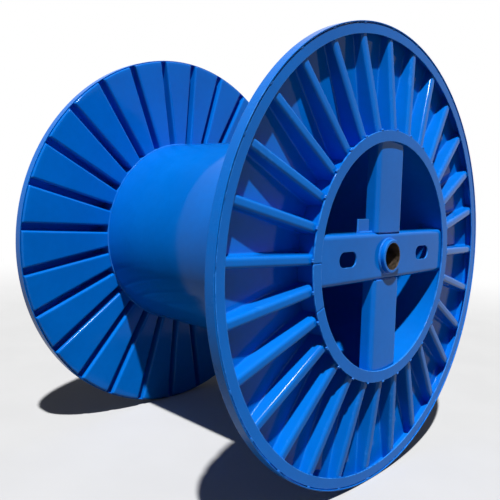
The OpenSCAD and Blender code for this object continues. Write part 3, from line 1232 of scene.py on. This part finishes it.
@dataclass
class Cross:
    """Horizontal bar, two arms, hub and lug inside one flange, with their welds."""

    side: Side
    slot_offset: float = 213.0
    slot_w: float = 44.0
    slot_len: float = 84.0
    hub_segments: int = 96
    lug_x: float = 117.0
    lug_w: float = 55.0
    lug_h: float = 40.0
    lug_low: float = 35.0
    lug_high: float = 41.0
    lug_edge: float = 0.8
    lug_cut: float = 0.3
    lug_corner: float = 1.5
    lug_weld_up: float = 0.6
    lug_weld_off: float = 0.8
    lug_face_step: float = 5.1
    lug_run_step: float = 3.0
    slot_steps: int = 14
    hole_steps: int = 64
    hub_rounding: float = 0.5
    hub_weld_steps: int = 90
    arm_weld_steps: int = 12
    end_weld_steps: int = 40
    hub_weld_out: float = 1.4
    hub_weld_up: float = 0.6
    arm_weld_short: float = 4.0
    arm_weld_down: float = 6.6
    end_weld_in: float = 0.8
    end_weld_down: float = 0.4
    hub_bead: BeadStyle = BeadStyle(4.2, 21, 0.07, 6.0)
    arm_bead: BeadStyle = BeadStyle(3.4, 22)
    end_bead: BeadStyle = BeadStyle(2.8, 23, 0.12)
    lug_bead: BeadStyle = BeadStyle(4.2, 31, 0.35, 7.0)
    channel: FoldedChannel = field(default_factory=FoldedChannel)

    def slot_outline(self, x: float, grow: float) -> list[Point2]:
        """Obround outline of a drive slot, anticlockwise.

        Args:
            x: middle of the slot.
            grow: margin added all round.

        Returns:
            The outline.
        """
        r, mid = self.slot_w / 2 + grow, (self.slot_len - self.slot_w) / 2
        right = arc((x + mid, 0), r, -90, 90, self.slot_steps)
        return right + arc((x - mid, 0), r, 90, 270, self.slot_steps)

    def in_hole(self, x: float, s: float) -> bool:
        """Tells if a point of the bar's blank lies in a slot or the hub hole.

        Args:
            x: place along the bar.
            s: distance across the blank from its middle.

        Returns:
            Whether it does.
        """
        mid = (self.slot_len - self.slot_w) / 2
        near = max(abs(abs(x) - self.slot_offset) - mid, 0.0)
        return math.hypot(near, s) < self.slot_w / 2 or math.hypot(x, s) < SIZES.hub_r

    @staticmethod
    def wall(across: float) -> float:
        """Distance along a channel at which it meets the barrel."""
        return math.sqrt(SIZES.cross_r**2 - across**2)

    def bar(self, shop: Workshop) -> None:
        """Builds the bar with its two slots.

        Args:
            shop: what the sub-assemblies share.
        """
        holes = [
            lambda grow: self.slot_outline(-self.slot_offset, grow),
            lambda grow: self.slot_outline(self.slot_offset, grow),
            lambda grow: arc((0, 0), SIZES.hub_r + SIZES.gap + grow, 0, 360, self.hole_steps)[:-1],
        ]
        draft = self.channel.draft(lambda v: -self.wall(v), self.wall, holes, self.in_hole)
        tag, place = self.side.value, self.side.place()
        show(draft, f"cross_bar_{tag}", place, [shop.finishes.plate], f"bar_{tag}", flats=True)

    def arms(self, shop: Workshop) -> None:
        """Builds the upper and lower arm.

        Args:
            shop: what the sub-assemblies share.
        """
        root, tag = SIZES.channel_half + SIZES.gap, self.side.value
        for word, turn in (("upper", 90), ("lower", -90)):
            draft = self.channel.draft(lambda v: root, self.wall, [], lambda x, s: False)
            place = self.side.place() @ Matrix.Rotation(math.radians(turn), 4, "Z")
            name, node = f"{word}_arm_plate_{tag}", f"{word}_arm_{tag}"
            show(draft, name, place, [shop.finishes.plate], node, flats=True)

    def hub(self, shop: Workshop) -> None:
        """Builds the hub tube, enamelled outside, bare in the bore.

        Args:
            shop: what the sub-assemblies share.
        """
        s = SIZES
        edge = s.hub_edge
        corners = [
            (s.bore_r + edge, s.hub_low),
            (s.hub_r - edge, s.hub_low),
            (s.hub_r, s.hub_low + edge),
            (s.hub_r, s.hub_high - edge),
            (s.hub_r - edge, s.hub_high),
            (s.bore_r + edge, s.hub_high),
            (s.bore_r, s.hub_high - edge),
            (s.bore_r, s.hub_low + edge),
        ]
        section = rounded(corners, self.hub_rounding)
        per = len(section) // len(corners)
        # The strips of the bore start at the rounding before its top corner and end the section.
        bare = range(6 * per - 3, 8 * per - 1)
        draft = lathe(section, self.hub_segments, [int(i in bare) for i in range(len(section))])
        tag, finishes = self.side.value, [shop.finishes.plate, shop.finishes.bore]
        show(draft, f"hub_tube_{tag}", self.side.place(), finishes, f"hub_{tag}")

    def lug(self, shop: Workshop) -> None:
        """Builds the lug plate that stands on the bar.

        Args:
            shop: what the sub-assemblies share.
        """
        draft = Draft()
        low = SIZES.channel_half + SIZES.gap
        x0, x1 = -self.lug_x - self.lug_w / 2, -self.lug_x + self.lug_w / 2
        edge, top = self.lug_edge, low + self.lug_h
        flat = rounded([(x0, low), (x1, low), (x1, top), (x0, top)], self.lug_corner)
        middle = Vector((-self.lug_x, low + self.lug_h / 2))
        cut = edge * self.lug_cut
        levels = [(edge, self.lug_high), (cut, self.lug_high - cut), (0.0, self.lug_high - edge)]
        levels += [(0.0, self.lug_low + edge), (cut, self.lug_low + cut), (edge, self.lug_low)]
        rings = []
        for inset, height in levels:
            # Edge mark on the rounded rims: rubbed paint and a painted pale highlight.
            wear_and_highlight = 0.0 if inset == edge else 1.0
            ring = []
            for x, y, _ in flat:
                to_middle = (middle - Vector((x, y))).normalized()
                ring.append(draft.point(x + to_middle.x * inset, y + to_middle.y * inset, height, wear_and_highlight))
            rings.append(ring)
        for upper, lower in zip(rings, rings[1:]):
            draft.band(upper, lower)
        draft.face(*rings[0])
        draft.face(*reversed(rings[-1]))
        tag, place = self.side.value, self.side.place()
        show(draft, f"lug_plate_{tag}", place, [shop.finishes.plate], f"lug_{tag}", flats=True)
        foot, off = low + self.lug_weld_up, self.lug_weld_off
        # Along the plate's face, on toward the arm, and across its far end.
        paths = [
            [Vector((x0 + 2 + k * self.lug_face_step, foot, self.lug_high + off)) for k in range(11)],
            [Vector((x1 + off + k * self.lug_run_step, foot, self.lug_low + 3.0)) for k in range(9)],
            [Vector((x0 - off, foot, self.lug_low + 1 + k)) for k in range(5)],
        ]
        shop.weld(f"lug_welds_{tag}", paths, self.lug_bead, place)

    def welds(self, shop: Workshop) -> None:
        """Welds of the hub, of the arms to the bar, and of the cross to the barrel wall.

        Args:
            shop: what the sub-assemblies share.
        """
        place, tag = self.side.place(), self.side.value
        face = SIZES.cross_face
        around = arc((0, 0), SIZES.hub_r + self.hub_weld_out, 0, 360, self.hub_weld_steps)
        shop.weld(f"hub_weld_{tag}", [raised(around, face + self.hub_weld_up)], self.hub_bead, place)
        seam = SIZES.channel_half + SIZES.gap / 2
        flat, steps = self.channel.flat - self.arm_weld_short, self.arm_weld_steps
        seams = []
        for sign in (1, -1):
            across = [(flat * k / steps, sign * seam) for k in range(-steps, steps + 1)]
            seams.append(raised(across, face - self.arm_weld_down))
        shop.weld(f"arm_seams_{tag}", seams, self.arm_bead, place)
        ends = []
        half = math.degrees(math.asin(self.channel.flat / SIZES.cross_r))
        reach = SIZES.cross_r - self.end_weld_in
        for turn in (0, 90, 180, 270):
            path = arc((0, 0), reach, turn - half, turn + half, self.end_weld_steps)
            ends.append(raised(path, face - self.end_weld_down))
        shop.weld(f"cross_end_welds_{tag}", ends, self.end_bead, place)

    def build(self, shop: Workshop) -> None:
        """Builds the cross of this side.

        Args:
            shop: what the sub-assemblies share.
        """
        self.bar(shop)
        self.arms(shop)
        self.hub(shop)
        if self.side is Side.FRONT:
            self.lug(shop)
        self.welds(shop)


@dataclass
class Barrel:
    """Rolled barrel between the flanges, with its welds to the pressed discs."""

    segments: int = 256
    edge: float = 0.6
    weld_out: float = 0.8
    weld_in: float = 0.4
    weld_steps: int = 240
    bead: BeadStyle = BeadStyle(3.0, 41, 0.10, 6.0, 3.0)

    def build(self, shop: Workshop) -> None:
        """Builds the barrel and its two welds.

        Args:
            shop: what the sub-assemblies share.
        """
        s = SIZES
        length = 2 * s.half_width + 2 * (s.ring_low - s.gap)
        low, high = -(length / 2) - s.half_width, length / 2 - s.half_width
        r0, r1 = s.barrel_r - s.barrel_t, s.barrel_r
        section = rounded([(r0, low), (r1, low), (r1, high), (r0, high)], self.edge)
        tube = lathe(section, self.segments)
        show(tube, "barrel_tube", Side.FRONT.place(), [shop.finishes.sheet], "barrel")
        for side in Side:
            around = arc((0, 0), s.barrel_r + self.weld_out, 0, 360, self.weld_steps)
            path = raised(around, -s.panel_set - self.weld_in)
            shop.weld(f"barrel_weld_{side.value}", [path], self.bead, side.place())


@dataclass
class Studio:
    """Pale floor, key light, white surround and the camera."""

    sun_from: tuple[float, float, float] = (-0.31, -0.34, 0.88)
    sun_strength: float = 5.0
    sun_angle: float = 1.6
    fill: float = 0.05
    floor_colour: Colour = (0.55, 0.55, 0.55, 1.0)
    ground_colour: Colour = (0.19, 0.17, 0.15, 1.0)
    floor_drift: float = 1.03
    floor_rough: float = 0.9
    floor_mirror: float = 0.1
    floor_r: float = 40.0
    floor_steps: int = 64
    fade_from: float = 2.2
    fade_to: float = 5.0
    camera_at: tuple[float, float, float] = (-1597.75, -1454.75, 889.11)
    camera_azimuth: float = -45.89
    camera_elevation: float = 3.93
    camera_roll: float = 3.21
    focal_px: float = 590.63
    centre_px: Point2 = (246.45, 204.95)
    frame_px: float = 500.0
    sensor: float = 36.0
    clip_end: float = 200.0

    def camera(self) -> None:
        """Places the camera at the photograph's viewing angle."""
        data = bpy.data.cameras.new("camera")
        data.sensor_width = self.sensor
        data.lens = self.focal_px * self.sensor / self.frame_px
        data.shift_x = (self.frame_px / 2 - self.centre_px[0]) / self.frame_px
        data.shift_y = (self.centre_px[1] - self.frame_px / 2) / self.frame_px
        data.clip_end = self.clip_end
        a, e = math.radians(self.camera_azimuth), math.radians(self.camera_elevation)
        back = Vector((math.sin(a) * math.cos(e), -math.cos(a) * math.cos(e), math.sin(e)))
        right = Vector((0, 0, 1)).cross(back).normalized()
        up = back.cross(right)
        turn = Matrix.Rotation(-math.radians(self.camera_roll), 3, "Y")
        axes = Matrix((turn @ right, turn @ up, turn @ back)).transposed()
        obj = bpy.data.objects.new("camera", data)
        obj.matrix_world = Matrix.Translation(Vector(self.camera_at) * MM) @ axes.to_4x4()
        bpy.context.scene.collection.objects.link(obj)
        bpy.context.scene.camera = obj

    @staticmethod
    def seen(tree: Tree) -> Socket:
        """Mask of the rays that show the surround: camera, mirror and glass rays.

        Args:
            tree: tree that gets the nodes.

        Returns:
            The mask.
        """
        path = tree.add("ShaderNodeLightPath").outputs
        mask = tree.math("MAXIMUM", path["Is Camera Ray"], path["Is Glossy Ray"])
        return tree.math("MAXIMUM", mask, path["Is Transmission Ray"])

    def light(self) -> None:
        """Adds the key light and the even surround."""
        data = bpy.data.lights.new("key", "SUN")
        data.energy = self.sun_strength
        data.angle = math.radians(self.sun_angle)
        key = bpy.data.objects.new("key", data)
        key.rotation_euler = (-Vector(self.sun_from)).to_track_quat("-Z", "Y").to_euler()
        bpy.context.scene.collection.objects.link(key)
        world = bpy.data.worlds.new("surround")
        world.use_nodes = True
        bpy.context.scene.world = world
        tree = Tree(world.node_tree)
        strength = tree.math("MULTIPLY_ADD", self.seen(tree), 1.0 - self.fill, self.fill)
        tree.feed(world.node_tree.nodes["Background"], {"Color": WHITE, "Strength": strength})

    def floor(self) -> None:
        """Lays the pale floor, which fades into the white surround."""
        mesh = bpy.data.meshes.new("floor")
        rim = arc((0, 0), self.floor_r, 0, 360, self.floor_steps)[:-1]
        mesh.from_pydata([(x, y, 0.0) for x, y in rim], [], [tuple(range(len(rim)))])
        material, tree, shader = new_material("pale_floor")
        coords, seen = tree.coords(), self.seen(tree)
        far = tree.add("ShaderNodeVectorMath", {0: coords}, operation="LENGTH").outputs["Value"]
        grain = tree.ramp(tree.noise(coords, scale=3.0, detail=4.0), 0.3, 0.7)
        paler = tuple(min(c * self.floor_drift, 1.0) for c in self.floor_colour)
        top = tree.mix(grain, self.floor_colour, paler)
        feeds = {
            "Base Color": tree.mix(seen, self.ground_colour, top),
            "Roughness": self.floor_rough,
            "Specular IOR Level": self.floor_mirror,
        }
        tree.feed(shader, feeds)
        fade = tree.math("MULTIPLY", seen, tree.ramp(far, self.fade_from, self.fade_to))
        white = tree.add("ShaderNodeEmission").outputs[0]
        blend = tree.add("ShaderNodeMixShader", {0: fade, 1: shader.outputs[0], 2: white}).outputs[0]
        tree.feed(material.node_tree.nodes["Material Output"], {"Surface": blend})
        mesh.materials.append(material)
        obj = bpy.data.objects.new("floor", mesh)
        bpy.context.scene.collection.objects.link(obj)

    def build(self) -> None:
        """Builds the studio."""
        bpy.context.scene.view_settings.view_transform = "Standard"
        self.camera()
        self.light()
        self.floor()


def main() -> None:
    """Builds the drum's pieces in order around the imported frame."""
    logging.basicConfig(level=logging.INFO, format="%(name)s %(message)s")
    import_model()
    shop = Workshop(Finishes(), NodeTrees())
    Barrel().build(shop)
    for side in Side:
        PressedDisc(side).build(shop)
        RimRings(side).build(shop)
        Cross(side).build(shop)
    Studio().build()


if __name__ == "__main__":
    main()
